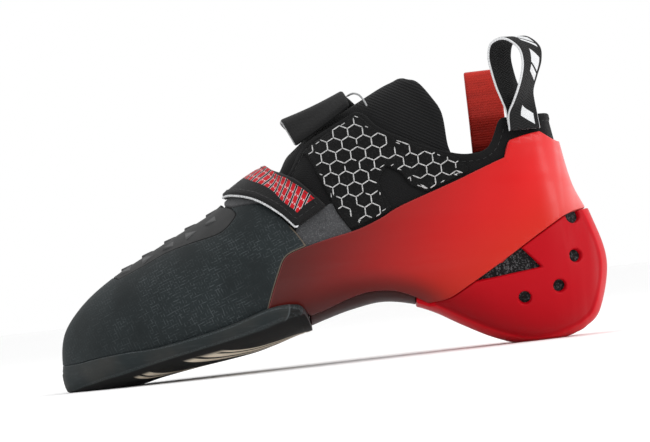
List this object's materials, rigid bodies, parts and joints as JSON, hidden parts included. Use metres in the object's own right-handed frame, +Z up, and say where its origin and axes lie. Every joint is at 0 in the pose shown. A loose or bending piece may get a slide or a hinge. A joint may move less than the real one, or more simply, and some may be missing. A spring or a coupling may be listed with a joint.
{
  "type": "climbing shoe",
  "caption": "Low climbing shoe for the left foot, downturned, with closure straps over the instep, studded toe patch, tension band and heel cup.",
  "frame": {"origin": "middle of the flat spot under the heel", "axes": "-X to the toe, -Y to the outer side of the foot, +Z up"},
  "size_m": [0.2453, 0.0899, 0.1333],
  "materials": {
    "upper_textile": "matte black textile",
    "insole_board": "dark grey felt",
    "knit": "ribbed black knit",
    "sole_rubber": "smooth black rubber",
    "rand_rubber": "blue black rubber with a fine woven imprint",
    "patch_rubber": "moulded dark rubber",
    "arch_rubber": "dark maroon rubber",
    "band_rubber": "glossy red rubber shading to maroon at the front",
    "heel_rubber": "satin crimson moulded rubber",
    "hexagon_mesh": "black mesh with raised pale hexagon lines",
    "grey_felt": "heather grey felt",
    "strap_webbing": "black strap textile",
    "loop_webbing": "black ribbed webbing with pale edges",
    "red_webbing": "red webbing"
  },
  "bodies": {
    "root": {"upper": "upper_textile", "insole": "insole_board", "tongue": "knit", "outsole": "sole_rubber", "toe_rand": "rand_rubber", "toe_hook_patch": "patch_rubber", "arch_rand": "arch_rubber", "tension_band": "band_rubber", "heel_cup": "heel_rubber", "outer_quarter_mesh": "hexagon_mesh", "inner_quarter_mesh": "hexagon_mesh", "strap_base": "grey_felt", "front_strap": "strap_webbing", "upper_strap": "strap_webbing", "pull_loop": "loop_webbing", "pull_tab": "red_webbing"}
  },
  "joints": []
}
